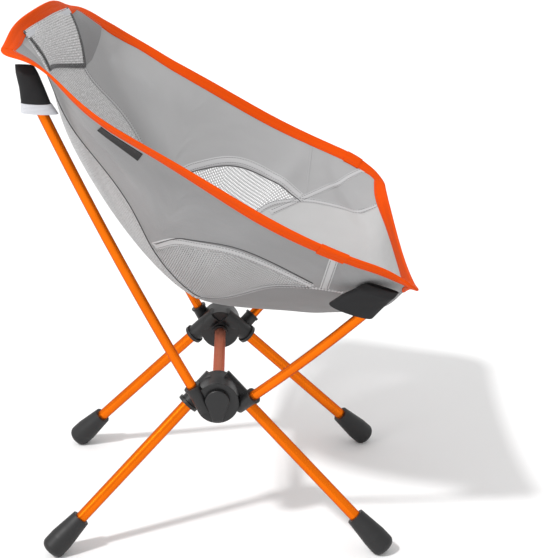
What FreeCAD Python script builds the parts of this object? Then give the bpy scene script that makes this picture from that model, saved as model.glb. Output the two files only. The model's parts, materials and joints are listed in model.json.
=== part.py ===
"""Ultralight backpacking chair: a shock-corded pole frame that carries a slung fabric seat.

Millimetres.  +Z is up, the chair faces -Y, and -X is the sitter's right.  The origin lies on the
floor under the middle of the chair.
"""
import FreeCAD, Part
import Sketcher
import math
import os

from FreeCAD import Placement, Rotation, Vector

doc = FreeCAD.newDocument("backpacking_chair")

# ---------------------------------------------------------------- driving dimensions
DIMENSIONS = {
    # legs: two per side, meeting above the middle of the hub
    "leg_outer": 7.75, "leg_wall": 1.0, "leg_meet_x": 113.0, "leg_meet_z": 234.0,
    "leg_splay_x": 0.185, "leg_splay_y": 0.683, "leg_drop": 0.7065,
    "leg_top": 14.0, "socket_mouth": 58.0, "boot_top": 262.0, "leg_end": 308.0,
    "leg_clearance": 0.08,
    # rubber boots on the legs
    "boot_length": 60.0, "boot_neck": 12.2, "boot_heel": 16.0, "boot_round": 9.0,
    "floor_side": 800.0, "floor_depth": 40.0, "boot_lip": 0.6, "boot_lip_length": 6.0, "boot_shoulder": 37.0,
    # upper poles
    "pole_outer": 6.5, "pole_wall": 0.9, "pole_mouth_x": 148.0,
    "rear_mouth_y": 33.0, "rear_mouth_z": 229.5, "rear_depth": 36.0,
    "rear_tip_x": 163.0, "rear_tip_y": 225.0, "rear_tip_z": 636.0,
    "rear_leave_x": 0.034, "rear_leave_y": 0.467, "left_tip_shift": 29.0, "left_tip_drop": 9.0,
    "front_mouth_y": -47.5, "front_mouth_z": 216.0, "front_depth": 28.0,
    "front_tip_x": 231.0, "front_tip_y": -203.0, "front_tip_z": 380.0,
    "front_leave_x": 0.35, "front_leave_y": -0.679,
    "ferrule_half": 32.0, "ferrule_outer": 5.55, "tip_length": 14.0,
    # shock cord
    "cord_radius": 1.5, "cord_hole": 2.2, "cord_start": 6.0, "cord_end_gap": 0.5,
    # crossbar
    "bar_outer": 7.75, "bar_wall": 1.0, "bar_z": 204.0, "bar_end": 121.0,
    # hub
    "press_gap": 0.05, "socket_root": 9.0, "bore_overrun": 10.0, "cord_hole_start": 5.0,
    "collar_root": 4.0, "pole_lip_length": 3.0, "pole_lip_inset": 4.0, "pole_root": 3.0,
    "hub_inner_x": 108.0, "hub_outer_x": 152.0, "hub_radius": 27.5, "hub_z": 206.5,
    "leg_socket": 11.8, "leg_flange": 14.2, "flange_length": 4.5,
    "pole_socket": 9.6, "pole_lip": 10.8, "bar_collar": 11.0, "bar_collar_length": 7.0,
    # hub cap
    "cap_thickness": 6.0, "cap_round": 2.0, "cap_arch": 16.0, "cap_centre_z": 210.0, "cap_foot_half": 6.0,
    "cap_foot_z": 183.0,
    # corner pockets of the seat
    "rear_pocket_width": 30.0, "front_pocket_width": 40.0, "pocket_depth": 18.0,
    "pocket_length": 42.0, "pocket_narrowing": 3.5,
    "pocket_end": 4.0, "hole_overrun": 0.5, "hem_length": 11.0, "hem_gap": 0.1, "sleeve_gap": 0.4,
    # fabric
    "left_twist": 39.0, "cloth_half": 0.8, "layer_gap": 0.35, "layer_thickness": 1.2, "binding_half": 2.2,
}

sheet = doc.addObject("Spreadsheet::Sheet", "dimensions")
for row, (alias, value) in enumerate(DIMENSIONS.items(), start=1):
    sheet.set("A%d" % row, alias)
    sheet.set("B%d" % row, str(value))
    sheet.setAlias("B%d" % row, alias)
doc.recompute()


def size(alias):
    """The value of one cell of the sheet."""
    return float(getattr(sheet, alias))


def bind(thing, **expressions):
    """Tie properties of an object to expressions over the sheet's aliases."""
    for prop, expression in expressions.items():
        for alias in sorted(DIMENSIONS, key=len, reverse=True):
            expression = expression.replace("<%s>" % alias, "dimensions.%s" % alias)
        thing.setExpression(prop, expression)


SUBPARTS = []          # (node name, object) in the order they are made


def keep(thing, name):
    """Give a finished sub-part its own label and list it for export."""
    thing.Label = name
    SUBPARTS.append((name, thing))
    return thing


# ---------------------------------------------------------------- placing helpers
SIDES = (("right", -1), ("left", 1))       # name and sign of X
ENDS = (("rear", 1), ("front", -1))        # name and sign of Y


def along(start, direction):
    """Placement that puts local +Z along a direction, with its origin at start."""
    return Placement(start, Rotation(Vector(0, 0, 1), direction))


def frame_placement(x_axis, y_axis, z_axis, origin):
    """Placement whose local axes are the three given ones."""
    return Placement(FreeCAD.Matrix(x_axis.x, y_axis.x, z_axis.x, origin.x,
                                    x_axis.y, y_axis.y, z_axis.y, origin.y,
                                    x_axis.z, y_axis.z, z_axis.z, origin.z, 0, 0, 0, 1))


def leg_direction(side, end):
    return Vector(side * size("leg_splay_x"), end * size("leg_splay_y"), -size("leg_drop")).normalize()


def leg_point(side, end, distance):
    """A point on a leg's axis, measured down from where the two legs of a side would meet."""
    meet = Vector(side * size("leg_meet_x"), 0, size("leg_meet_z"))
    return meet + leg_direction(side, end) * distance


def pole_mouth(side, end):
    name = "rear" if end > 0 else "front"
    return Vector(side * size("pole_mouth_x"), size(name + "_mouth_y"), size(name + "_mouth_z"))


def pole_tip(side, end):
    name = "rear" if end > 0 else "front"
    tip = Vector(side * size(name + "_tip_x"), size(name + "_tip_y"), size(name + "_tip_z"))
    if end > 0 and side > 0:
        tip.y -= size("left_tip_shift")
        tip.z -= size("left_tip_drop")
    return tip


class Arc:
    """The gentle bow of an upper pole: a circular arc that leaves the hub straight out of its socket."""

    def __init__(self, side, end):
        name = "rear" if end > 0 else "front"
        self.start, self.tip = pole_mouth(side, end), pole_tip(side, end)
        leave_x, leave_y = size(name + "_leave_x"), size(name + "_leave_y")
        leave = Vector(side * leave_x, leave_y, math.sqrt(1 - leave_x ** 2 - leave_y ** 2))
        chord = self.tip - self.start
        self.half_angle = leave.getAngle(chord)
        self.radius = chord.Length / (2 * math.sin(self.half_angle))
        inward = (chord - leave * chord.dot(leave)).normalize()
        self.centre = self.start + inward * self.radius
        self.normal = leave.cross(inward)
        self.length = 2 * self.half_angle * self.radius

    def spoke(self, distance):
        """Unit vector from the arc's centre to the point at a distance along the arc."""
        first = Vector(self.start - self.centre).normalize()
        turn = Rotation(self.normal, math.degrees(distance / self.radius))
        return turn.multVec(first)

    def point(self, distance):
        return self.centre + self.spoke(distance) * self.radius

    def tangent(self, distance):
        return self.normal.cross(self.spoke(distance)).normalize()

    def placement(self, distance):
        """Frame whose +X is the spoke, whose -Z is the tangent, and whose origin is the centre."""
        x_axis = self.spoke(distance)
        z_axis = self.tangent(distance) * -1
        y_axis = z_axis.cross(x_axis)
        return frame_placement(x_axis, y_axis, z_axis, self.centre)


# ---------------------------------------------------------------- modelling helpers
def cylinder(name, radius, length, start, direction):
    """A bound Part::Cylinder along a direction; radius and length are expressions."""
    solid = doc.addObject("Part::Cylinder", name)
    bind(solid, Radius=radius, Height=length)
    solid.Placement = along(start, direction)
    return solid


def cut(name, base, tool):
    result = doc.addObject("Part::Cut", name)
    result.Base, result.Tool = base, tool
    return result


def fuse(name, shapes):
    result = doc.addObject("Part::MultiFuse", name)
    result.Shapes = shapes
    return result


def plane_of(body, role):
    return next(f for f in body.Origin.OriginFeatures if f.Role == role)


def sketch_on(body, role, name):
    sketch = body.newObject("Sketcher::SketchObject", name)
    sketch.AttachmentSupport = [(plane_of(body, role), "")]
    sketch.MapMode = "FlatFace"
    return sketch


def polyline(sketch, points):
    """Draw a closed outline of straight lines and tie its corners together."""
    for start, stop in zip(points, points[1:] + points[:1]):
        sketch.addGeometry(Part.LineSegment(Vector(*start, 0), Vector(*stop, 0)), False)
    for index in range(len(points)):
        following = (index + 1) % len(points)
        sketch.addConstraint(Sketcher.Constraint("Coincident", index, 2, following, 1))


def ring_sweep(name, arc, start, length, outer, wall=None):
    """A tube or rod bent along a pole's arc: a ring turned about the arc's far centre."""
    body = doc.addObject("PartDesign::Body", name)
    sketch = sketch_on(body, "XY_Plane", name + "_ring")
    centre = Vector(arc.radius, 0, 0)
    radii = [("outer", size(outer))] + ([("inner", size(outer) - size(wall))] if wall else [])
    for index, (label, radius) in enumerate(radii):
        sketch.addGeometry(Part.Circle(centre, Vector(0, 0, 1), radius), False)
        sketch.addConstraint(Sketcher.Constraint("Radius", index, radius))
        sketch.renameConstraint(sketch.ConstraintCount - 1, label)
        sketch.addConstraint(Sketcher.Constraint("DistanceX", -1, 1, index, 3, arc.radius))
        sketch.addConstraint(Sketcher.Constraint("PointOnObject", index, 3, -1))
    bind(sketch, **{"Constraints.outer": "<%s>" % outer})
    if wall:
        bind(sketch, **{"Constraints.inner": "<%s> - <%s>" % (outer, wall)})
    turn = body.newObject("PartDesign::Revolution", name + "_turn")
    turn.Profile = sketch
    turn.ReferenceAxis = (sketch, ["V_Axis"])
    turn.Angle = math.degrees(length / arc.radius)
    turn.Refine = False
    body.Tip = turn
    body.Placement = arc.placement(start)
    return body


# ---------------------------------------------------------------- legs and boots
def leg(side_name, side, end_name, end):
    name = "leg_%s_%s" % (end_name, side_name)
    top, direction = leg_point(side, end, size("leg_top")), leg_direction(side, end)
    outside = cylinder(name + "_outside", "<leg_outer>", "<leg_end> - <leg_top>", top, direction)
    inside = cylinder(name + "_bore", "<leg_outer> - <leg_wall>", "<leg_end> - <leg_top>", top, direction)
    keep(cut(name, outside, inside), name)


def boot_profile(sketch):
    """Half section of a boot about its axis: neck, swelling wall, rounded heel and the leg's bore."""
    neck, heel, length, bend = size("boot_neck"), size("boot_heel"), size("boot_length"), size("boot_round")
    bore, depth = size("leg_outer"), size("leg_end") - size("boot_top")
    corners = [(heel - bend, length), (0, length), (0, depth), (bore, depth), (bore, 0), (neck, 0),
               (neck + size("boot_lip"), size("boot_lip_length")), (heel, size("boot_shoulder")),
               (heel, length - bend)]
    for start, stop in zip(corners, corners[1:]):
        sketch.addGeometry(Part.LineSegment(Vector(*start, 0), Vector(*stop, 0)), False)
    last = len(corners) - 2
    round_part = Part.Circle(Vector(heel - bend, length - bend, 0), Vector(0, 0, 1), bend)
    sketch.addGeometry(Part.ArcOfCircle(round_part, 0, math.pi / 2), False)
    for index in range(last):
        sketch.addConstraint(Sketcher.Constraint("Coincident", index, 2, index + 1, 1))
    sketch.addConstraint(Sketcher.Constraint("Coincident", last, 2, last + 1, 1))
    sketch.addConstraint(Sketcher.Constraint("Coincident", last + 1, 2, 0, 1))


def boot(side_name, side, end_name, end, floor):
    """Rubber boot: a swelling cup on the leg's end with a rounded heel, worn flat by the floor."""
    name = "boot_%s_%s" % (end_name, side_name)
    body = doc.addObject("PartDesign::Body", name + "_body")
    sketch = sketch_on(body, "XZ_Plane", name + "_profile")
    boot_profile(sketch)
    turn = body.newObject("PartDesign::Revolution", name + "_turn")
    turn.Profile = sketch
    turn.ReferenceAxis = (sketch, ["V_Axis"])
    turn.Angle = 360
    body.Tip = turn
    body.Placement = along(leg_point(side, end, size("boot_top")), leg_direction(side, end))
    keep(cut(name, body, floor), name)


def leg_cord(side_name, side, end_name, end):
    name = "leg_cord_%s_%s" % (end_name, side_name)
    start = leg_point(side, end, size("cord_start"))
    length = "<leg_end> - <cord_start> - <cord_end_gap>"
    rod = cylinder(name, "<cord_radius>", length, start, leg_direction(side, end))
    keep(rod, name)


def floor_block():
    """Everything below the floor, cut off the boots so that they stand flat."""
    block = doc.addObject("Part::Box", "floor_block")
    bind(block, Length="<floor_side>", Width="<floor_side>", Height="<floor_depth>")
    half = size("floor_side") / 2
    block.Placement = Placement(Vector(-half, -half, -size("floor_depth")), Rotation())
    return block


# ---------------------------------------------------------------- upper poles
def rear_pole(side_name, side):
    arc = Arc(side, 1)
    top = arc.length - size("tip_length")
    joint = arc.length / 2
    depth = size("rear_depth")
    straight_start = arc.point(0) - arc.tangent(0) * depth
    lower = ring_sweep("rear_pole_lower_bend_" + side_name, arc, 0, joint, "pole_outer", "pole_wall")
    stub = straight_tube("rear_stub_" + side_name, straight_start, arc.tangent(0), "<rear_depth>")
    keep(fuse("rear_pole_lower_" + side_name, [lower, stub]), "rear_pole_lower_" + side_name)
    upper = ring_sweep("rear_pole_upper_" + side_name, arc, joint, top - joint, "pole_outer", "pole_wall")
    keep(upper, "rear_pole_upper_" + side_name)
    half = size("ferrule_half")
    ferrule = ring_sweep("ferrule_" + side_name, arc, joint - half, 2 * half, "ferrule_outer", "pole_wall")
    keep(ferrule, "ferrule_" + side_name)
    keep(ring_sweep("rear_cord_" + side_name, arc, 0, top, "cord_radius"), "rear_cord_" + side_name)
    pole_end("rear_tip_" + side_name, arc, top)


def front_pole(side_name, side):
    arc = Arc(side, -1)
    top = arc.length - size("tip_length")
    straight_start = arc.point(0) - arc.tangent(0) * size("front_depth")
    bend = ring_sweep("front_pole_bend_" + side_name, arc, 0, top, "pole_outer", "pole_wall")
    stub = straight_tube("front_stub_" + side_name, straight_start, arc.tangent(0), "<front_depth>")
    keep(fuse("front_pole_" + side_name, [bend, stub]), "front_pole_" + side_name)
    keep(ring_sweep("front_cord_" + side_name, arc, 0, top, "cord_radius"), "front_cord_" + side_name)
    pole_end("front_tip_" + side_name, arc, top)


def straight_tube(name, start, direction, length):
    outside = cylinder(name + "_outside", "<pole_outer>", length, start, direction)
    inside = cylinder(name + "_bore", "<pole_outer> - <pole_wall>", length, start, direction)
    return cut(name, outside, inside)


TIP_SECTION = ((0, 0), (1, 0), (1, 0.55), (0.82, 0.82), (0.45, 1), (0, 1))   # shares of radius and length


def pole_end(name, arc, distance):
    """Plastic plug in the end of an upper pole: a cap as wide as the pole with a domed nose."""
    length, radius = size("tip_length"), size("pole_outer")
    body = doc.addObject("PartDesign::Body", name)
    sketch = sketch_on(body, "XZ_Plane", name + "_profile")
    polyline(sketch, [(radius * out, length * up) for out, up in TIP_SECTION])
    turn = body.newObject("PartDesign::Revolution", name + "_turn")
    turn.Profile = sketch
    turn.ReferenceAxis = (sketch, ["V_Axis"])
    turn.Angle = 360
    body.Tip = turn
    body.Placement = along(arc.point(distance), arc.tangent(distance))
    keep(body, name)


# ---------------------------------------------------------------- hub, crossbar and caps
def hub(side_name, side):
    """Moulded hub: a round block with sockets for two legs, two upper poles and the crossbar."""
    tag = "hub_%s_" % side_name
    across = Vector(side, 0, 0)
    collar_mouth = Vector(side * (size("hub_inner_x") - size("bar_collar_length")), 0, size("bar_z"))
    solids = [cylinder(tag + "block", "<hub_radius>", "<hub_outer_x> - <hub_inner_x>",
                       Vector(side * size("hub_inner_x"), 0, size("hub_z")), across),
              cylinder(tag + "bar_collar", "<bar_collar>", "<bar_collar_length> + <collar_root>",
                       collar_mouth, across)]
    holes = [cylinder(tag + "bar_bore", "<bar_outer> + <press_gap>",
                      "<bar_collar_length> + <bar_end> - <hub_inner_x>", collar_mouth, across)]
    for end_name, end in ENDS:
        direction = leg_direction(side, end)
        solids.append(cylinder(tag + end_name + "_socket", "<leg_socket>",
                               "<socket_mouth> - <socket_root>", leg_point(side, end, size("socket_root")),
                               direction))
        mouth = size("socket_mouth") - size("flange_length")
        solids.append(cylinder(tag + end_name + "_flange", "<leg_flange>", "<flange_length>",
                               leg_point(side, end, mouth), direction))
        holes.append(cylinder(tag + end_name + "_bore", "<leg_outer> + <leg_clearance>",
                              "<socket_mouth> - <leg_top> + <bore_overrun>",
                              leg_point(side, end, size("leg_top")), direction))
        holes.append(cylinder(tag + end_name + "_cord_hole", "<cord_hole>", "<leg_top>",
                              leg_point(side, end, size("cord_hole_start")), direction))
        add_pole_socket(tag, side, end_name, end, solids, holes)
    body = fuse(tag + "body", solids)
    keep(cut("hub_" + side_name, body, fuse(tag + "holes", holes)), "hub_" + side_name)


def mirror_to_right(left, name):
    """The right-hand piece as the left one's mirror image."""
    image = doc.addObject("Part::Mirroring", name)
    image.Source = left
    image.Normal = Vector(1, 0, 0)
    keep(image, name)


def hubs_and_caps():
    hub("left", 1)
    mirror_to_right(doc.getObject("hub_left"), "hub_right")
    cap = keep(hub_cap(), "hub_cap_left")
    mirror_to_right(cap, "hub_cap_right")


def add_pole_socket(tag, side, end_name, end, solids, holes):
    arc = Arc(side, end)
    tangent = arc.tangent(0)
    depth_name = end_name + "_depth"
    bottom = arc.point(0) - tangent * size(depth_name)
    solids.append(cylinder(tag + end_name + "_pole_socket", "<pole_socket>",
                           "<%s> - <pole_lip_inset> + <pole_lip_length> / 2 + <pole_root>" % depth_name,
                           bottom - tangent * size("pole_root"), tangent))
    lip_start = arc.point(0) - tangent * size("pole_lip_inset")
    solids.append(cylinder(tag + end_name + "_lip", "<pole_lip>", "<pole_lip_length>", lip_start, tangent))
    holes.append(cylinder(tag + end_name + "_pole_bore", "<pole_outer> + <press_gap>",
                          "<%s> + <bore_overrun>" % depth_name, bottom, tangent))


def hub_cap():
    """Shield on the hub's outer face: an arched top and a blunt foot, let in round the sockets."""
    body = doc.addObject("PartDesign::Body", "hub_cap_body")
    shield = sketch_on(body, "YZ_Plane", "hub_cap_outline")
    arched_outline(shield, size("cap_arch"), size("cap_centre_z"), size("cap_foot_half"), size("cap_foot_z"))
    pad = body.newObject("PartDesign::Pad", "hub_cap_pad")
    pad.Profile = shield
    bind(pad, Length="<cap_thickness>")
    doc.recompute()
    rim = [index for index, edge in enumerate(pad.Shape.Edges, start=1)
           if edge.BoundBox.XMin > size("cap_thickness") - 0.01]
    round_rim = body.newObject("PartDesign::Fillet", "hub_cap_round")
    round_rim.Base = (pad, ["Edge%d" % index for index in rim])
    bind(round_rim, Radius="<cap_round>")
    body.Tip = round_rim
    body.Placement = Placement(Vector(size("hub_outer_x") + size("press_gap"), 0, 0), Rotation())
    return cut("hub_cap_left", body, doc.getObject("hub_left_body"))


def arched_outline(sketch, arch, centre_z, foot_half, foot_z):
    top = Part.Circle(Vector(0, centre_z, 0), Vector(0, 0, 1), arch)
    sketch.addGeometry(Part.ArcOfCircle(top, 0, math.pi), False)
    corners = [(-arch, centre_z), (-foot_half, foot_z), (foot_half, foot_z), (arch, centre_z)]
    for start, stop in zip(corners, corners[1:]):
        sketch.addGeometry(Part.LineSegment(Vector(*start, 0), Vector(*stop, 0)), False)
    for first, first_point, second, second_point in ((0, 2, 1, 1), (1, 2, 2, 1), (2, 2, 3, 1), (3, 2, 0, 1)):
        sketch.addConstraint(Sketcher.Constraint("Coincident", first, first_point, second, second_point))


def crossbar():
    start, across = Vector(-size("bar_end"), 0, size("bar_z")), Vector(1, 0, 0)
    outside = cylinder("crossbar_outside", "<bar_outer>", "2 * <bar_end>", start, across)
    inside = cylinder("crossbar_bore", "<bar_outer> - <bar_wall>", "2 * <bar_end>", start, across)
    keep(cut("crossbar", outside, inside), "crossbar")
    cord = cylinder("crossbar_cord", "<cord_radius>", "2 * <bar_end>", start, across)
    keep(cord, "crossbar_cord")


# ---------------------------------------------------------------- the seat's surface
# Stations run from the top of the back (0) to the front edge (1).
EDGE_STATIONS = (0, 0.08, 0.17, 0.26, 0.40, 0.52, 0.65, 0.78, 0.86, 0.93, 1.0)
EDGE_HALF_WIDTH = (173, 206, 240, 257, 262, 264, 267, 268, 266, 259, 250)
EDGE_Y = (248, 203, 162, 127, 60, 0, -65, -127, -168, -205, -241)
EDGE_Z = (661, 654, 628, 603, 562, 526, 487, 455, 437, 420, 393)
CENTRE_STATIONS = (0, 0.12, 0.24, 0.36, 0.46, 0.55, 0.66, 0.78, 0.89, 0.95, 1.0)
CENTRE_Y = (236, 219, 200, 155, 104, 56, 4, -88, -192, -230, -246)
CENTRE_Z = (690, 609, 536, 450, 374, 322, 297, 289, 290, 310, 358)
SLACK_STATIONS = (0, 0.2, 0.4, 0.6, 0.8, 1.0)
SLACK = (0.5, 0.35, 0.5, 0.9, 0.9, 1.3)
TWIST_END = 0.39           # station below which both sides of the seat match again
TWIST_FADE = 1.3           # how quickly the twist dies out on the way down


def natural_spline(knots, values):
    """Natural cubic spline through the values at the knots, as a function of the station."""
    count = len(knots)
    gap = [knots[i + 1] - knots[i] for i in range(count - 1)]
    slope = [(values[i + 1] - values[i]) / gap[i] for i in range(count - 1)]
    diagonal, right, curve = [1.0] * count, [0.0] * count, [0.0] * count
    upper = [0.0] * count
    for i in range(1, count - 1):
        diagonal[i] = 2 * (gap[i - 1] + gap[i]) - gap[i - 1] * upper[i - 1]
        upper[i] = gap[i] / diagonal[i]
        right[i] = (6 * (slope[i] - slope[i - 1]) - gap[i - 1] * right[i - 1]) / diagonal[i]
    for i in range(count - 2, 0, -1):
        curve[i] = right[i] - upper[i] * curve[i + 1]

    def value(at):
        i = max(0, min(count - 2, sum(1 for knot in knots[1:-1] if knot <= at)))
        a, b, width = knots[i + 1] - at, at - knots[i], gap[i]
        bend = (curve[i] * a ** 3 + curve[i + 1] * b ** 3) / (6 * width)
        start = (values[i] / width - curve[i] * width / 6) * a
        stop = (values[i + 1] / width - curve[i + 1] * width / 6) * b
        return bend + start + stop
    return value


edge_half_width = natural_spline(EDGE_STATIONS, EDGE_HALF_WIDTH)
edge_y = natural_spline(EDGE_STATIONS, EDGE_Y)
edge_z = natural_spline(EDGE_STATIONS, EDGE_Z)
centre_y = natural_spline(CENTRE_STATIONS, CENTRE_Y)
centre_z = natural_spline(CENTRE_STATIONS, CENTRE_Z)
slack = natural_spline(SLACK_STATIONS, SLACK)


def twist_share(station):
    """How much of the top edge's twist is left at a station."""
    return max(0.0, 1 - station / TWIST_END) ** TWIST_FADE


def seat_point(across, station):
    """The middle of the cloth; across runs from -1 at the right edge to 1 at the left edge."""
    side_y, side_z = edge_y(station), edge_z(station)
    twist = twist_share(station)
    if across > 0:
        side_z -= size("left_tip_drop") * twist
    soft = slack(station)
    rise = (math.hypot(across, soft) - soft) / (math.hypot(1, soft) - soft)
    mid_y, mid_z = centre_y(station), centre_z(station)
    forward = size("left_twist") * twist * (across + 1) / 2
    return Vector(across * edge_half_width(station), mid_y + (side_y - mid_y) * rise - forward,
                  mid_z + (side_z - mid_z) * rise)


def seat_normal(across, station):
    """Unit normal of the cloth, pointing out of the bucket."""
    step = 0.002
    low, high = max(0.0, station - step), min(1.0, station + step)
    sideways = seat_point(across + step, station) - seat_point(across - step, station)
    down = seat_point(across, high) - seat_point(across, low)
    return sideways.cross(down).normalize()


def cloth(name, low, high, first, last, inner, outer, columns=7, rows=15):
    """A closed sheet between two edges across the seat, each a function of the station."""
    grids = {}
    for offset in (inner, outer):
        grid = []
        for i in range(rows):
            station = first + (last - first) * i / (rows - 1)
            line = []
            for j in range(columns):
                across = low(station) + (high(station) - low(station)) * j / (columns - 1)
                line.append(seat_point(across, station) + seat_normal(across, station) * offset)
            grid.append(line)
        grids[offset] = grid
    surfaces = []
    for offset in (inner, outer):
        surface = Part.BSplineSurface()
        surface.interpolate(grids[offset])
        surfaces.append(surface)
    faces = [surface.toShape() for surface in surfaces]
    u0, u1, v0, v1 = surfaces[0].bounds()
    for u in (u0, u1):
        faces.append(Part.makeRuledSurface(surfaces[0].uIso(u).toShape(), surfaces[1].uIso(u).toShape()))
    for v in (v0, v1):
        faces.append(Part.makeRuledSurface(surfaces[0].vIso(v).toShape(), surfaces[1].vIso(v).toShape()))
    shell = Part.Shell(faces)
    shell.sewShape()
    solid = Part.Solid(shell)
    if solid.Volume < 0:
        solid.reverse()
    feature = doc.addObject("Part::Feature", name)
    feature.Shape = solid
    return keep(feature, name)


# Seams, as shares of the half width.
column_edge = natural_spline((0, 0.15, 0.24, 0.3, 0.36, 0.43, 0.47, 0.52, 0.6),
                             (0.47, 0.45, 0.50, 0.54, 0.55, 0.49, 0.41, 0.345, 0.29))
seat_edge = natural_spline((0.6, 0.665, 0.713, 0.76, 0.8, 0.9, 1.0), (0.29, 0.45, 0.61, 0.675, 0.70, 0.70, 0.75))
moon_edge = natural_spline((0.47, 0.49, 0.52, 0.562, 0.607, 0.66, 0.71, 0.77, 0.81),
                           (0.37, 0.53, 0.635, 0.705, 0.75, 0.766, 0.755, 0.712, 0.665))
head_edge = natural_spline((0, 0.1, 0.165), (0.66, 0.60, 0.55))
HEAD_FOOT, COLUMN_END, MOON_START, MOON_END = 0.165, 0.60, 0.482, 0.77
BINDING_IN, TOP_BINDING, FRONT_BINDING = 0.957, 0.018, 0.986
SEAM_GAP = 0.006


def piping_line(station):
    return column_edge(station) if station < COLUMN_END else seat_edge(station)


def side_inner_edge(station):
    """Where a side panel starts: at the column, over the half moon, then at the seat panel."""
    if station <= 0.47 or station >= 0.81:
        return piping_line(station) + SEAM_GAP
    return max(moon_edge(station), piping_line(station)) + SEAM_GAP


def constant(value):
    return lambda station: value


def shifted(line, amount):
    return lambda station: line(station) + amount


def mirrored(low, high, side):
    """Edges of a panel on one side of the seat, in the order right to left."""
    if side > 0:
        return low, high
    return (lambda station: -high(station)), (lambda station: -low(station))


def seat_panels():
    half = size("cloth_half")
    outer_layer = (half + size("layer_gap"), half + size("layer_gap") + size("layer_thickness"))
    inner_layer = (-outer_layer[1], -outer_layer[0])
    thick = size("binding_half")
    cloth("back_mesh_panel", lambda v: -column_edge(v), column_edge, TOP_BINDING + SEAM_GAP, COLUMN_END,
          -half, half, 9, 21)
    cloth("head_mesh_panel", lambda v: -head_edge(v), head_edge, TOP_BINDING + SEAM_GAP, HEAD_FOOT,
          *inner_layer, 9, 9)
    cloth("seat_panel", lambda v: -seat_edge(v), seat_edge, COLUMN_END + SEAM_GAP, FRONT_BINDING - SEAM_GAP,
          -half, half, 9, 19)
    cloth("binding_top", constant(-BINDING_IN), constant(BINDING_IN), 0, TOP_BINDING, -thick, thick, 15, 4)
    cloth("binding_front", constant(-BINDING_IN), constant(BINDING_IN), FRONT_BINDING, 1, -thick, thick, 9, 4)
    for side_name, side in SIDES:
        cloth("side_panel_" + side_name, *mirrored(side_inner_edge, constant(BINDING_IN - SEAM_GAP), side),
              TOP_BINDING + SEAM_GAP, FRONT_BINDING - SEAM_GAP, -half, half, 7, 61)
        cloth("half_moon_mesh_" + side_name,
              *mirrored(shifted(piping_line, SEAM_GAP), shifted(moon_edge, -SEAM_GAP), side),
              MOON_START, MOON_END, -half, half, 6, 27)
        cloth("binding_" + side_name, *mirrored(constant(BINDING_IN + 0.001), constant(1.0), side),
              0, 1, -thick, thick, 3, 31)
        cloth("piping_" + side_name,
              *mirrored(shifted(column_edge, -0.008), shifted(column_edge, 0.008), side),
              0.03, 0.59, *outer_layer, 3, 23)
        cloth("half_moon_tape_" + side_name,
              *mirrored(shifted(moon_edge, -0.004), shifted(moon_edge, 0.05), side),
              MOON_START, MOON_END, *outer_layer, 3, 21)
        cloth("front_seam_tape_" + side_name, *mirrored(constant(0.77), constant(0.95), side),
              0.803, 0.818, *outer_layer, 5, 3)
    cloth("side_label", *mirrored(constant(0.865), constant(0.93), -1), 0.275, 0.345, *outer_layer, 3, 5)


# ---------------------------------------------------------------- corner pockets
def oval_sleeve(name, width, depth, length, hole_depth, narrowing=0.0):
    """A flattened sleeve along local +Z with a round hole for the pole from its mouth."""
    body = doc.addObject("PartDesign::Body", name)
    ends = []
    for height, change in ((0, 0), (length, narrowing)):
        outline = sketch_on(body, "XY_Plane", "%s_outline_%d" % (name, len(ends)))
        outline.AttachmentOffset = Placement(Vector(0, 0, height), FreeCAD.Rotation())
        outline.addGeometry(Part.Ellipse(Vector(0, 0, 0), width / 2 - change, depth / 2 - change), False)
        ends.append(outline)
    loft = body.newObject("PartDesign::AdditiveLoft", name + "_loft")
    loft.Profile = ends[0]
    loft.Sections = ends[1:]
    loft.Ruled = True
    hole = sketch_on(body, "XY_Plane", name + "_hole")
    bore = size("pole_outer") + size("sleeve_gap")
    hole.addGeometry(Part.Circle(Vector(0, 0, 0), Vector(0, 0, 1), bore), False)
    pocket = body.newObject("PartDesign::Pocket", name + "_pocket")
    pocket.Profile = hole
    pocket.Length = hole_depth
    pocket.Reversed = True
    body.Tip = pocket
    return body


def sleeve_placement(arc, distance, away):
    """Frame along the pole at a distance, with its short axis as near as can be to away."""
    z_axis = arc.tangent(distance)
    y_axis = (away - z_axis * away.dot(z_axis)).normalize()
    x_axis = y_axis.cross(z_axis)
    base = arc.point(distance)
    return frame_placement(x_axis, y_axis, z_axis, base)


def corner_pockets(side_name, side):
    """Sleeves that hold the pole tips, broad along the chair's side and thin across it."""
    depth, length, hem = size("pocket_depth"), size("pocket_length"), size("hem_length")
    away = Vector(side, 0, 0)
    inside = length - size("pocket_end")
    for end_name, end in ENDS:
        arc = Arc(side, end)
        width = size(end_name + "_pocket_width")
        mouth = arc.length - inside
        name = "pocket_%s_%s" % (end_name, side_name)
        pocket = oval_sleeve(name, width, depth, length, inside + size("hole_overrun"),
                             size("pocket_narrowing"))
        pocket.Placement = sleeve_placement(arc, mouth, away)
        keep(pocket, name)
        if end > 0:
            band = oval_sleeve("pocket_hem_" + side_name, width, depth, hem, hem + size("hole_overrun"))
            band.Placement = sleeve_placement(arc, mouth - hem - size("hem_gap"), away)
            keep(band, "pocket_hem_" + side_name)


# ---------------------------------------------------------------- the whole chair
def build():
    floor = floor_block()
    crossbar()
    hubs_and_caps()
    for side_name, side in SIDES:
        rear_pole(side_name, side)
        front_pole(side_name, side)
        for end_name, end in ENDS:
            leg(side_name, side, end_name, end)
            boot(side_name, side, end_name, end, floor)
            leg_cord(side_name, side, end_name, end)
        corner_pockets(side_name, side)
    seat_panels()
    doc.recompute()


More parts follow.
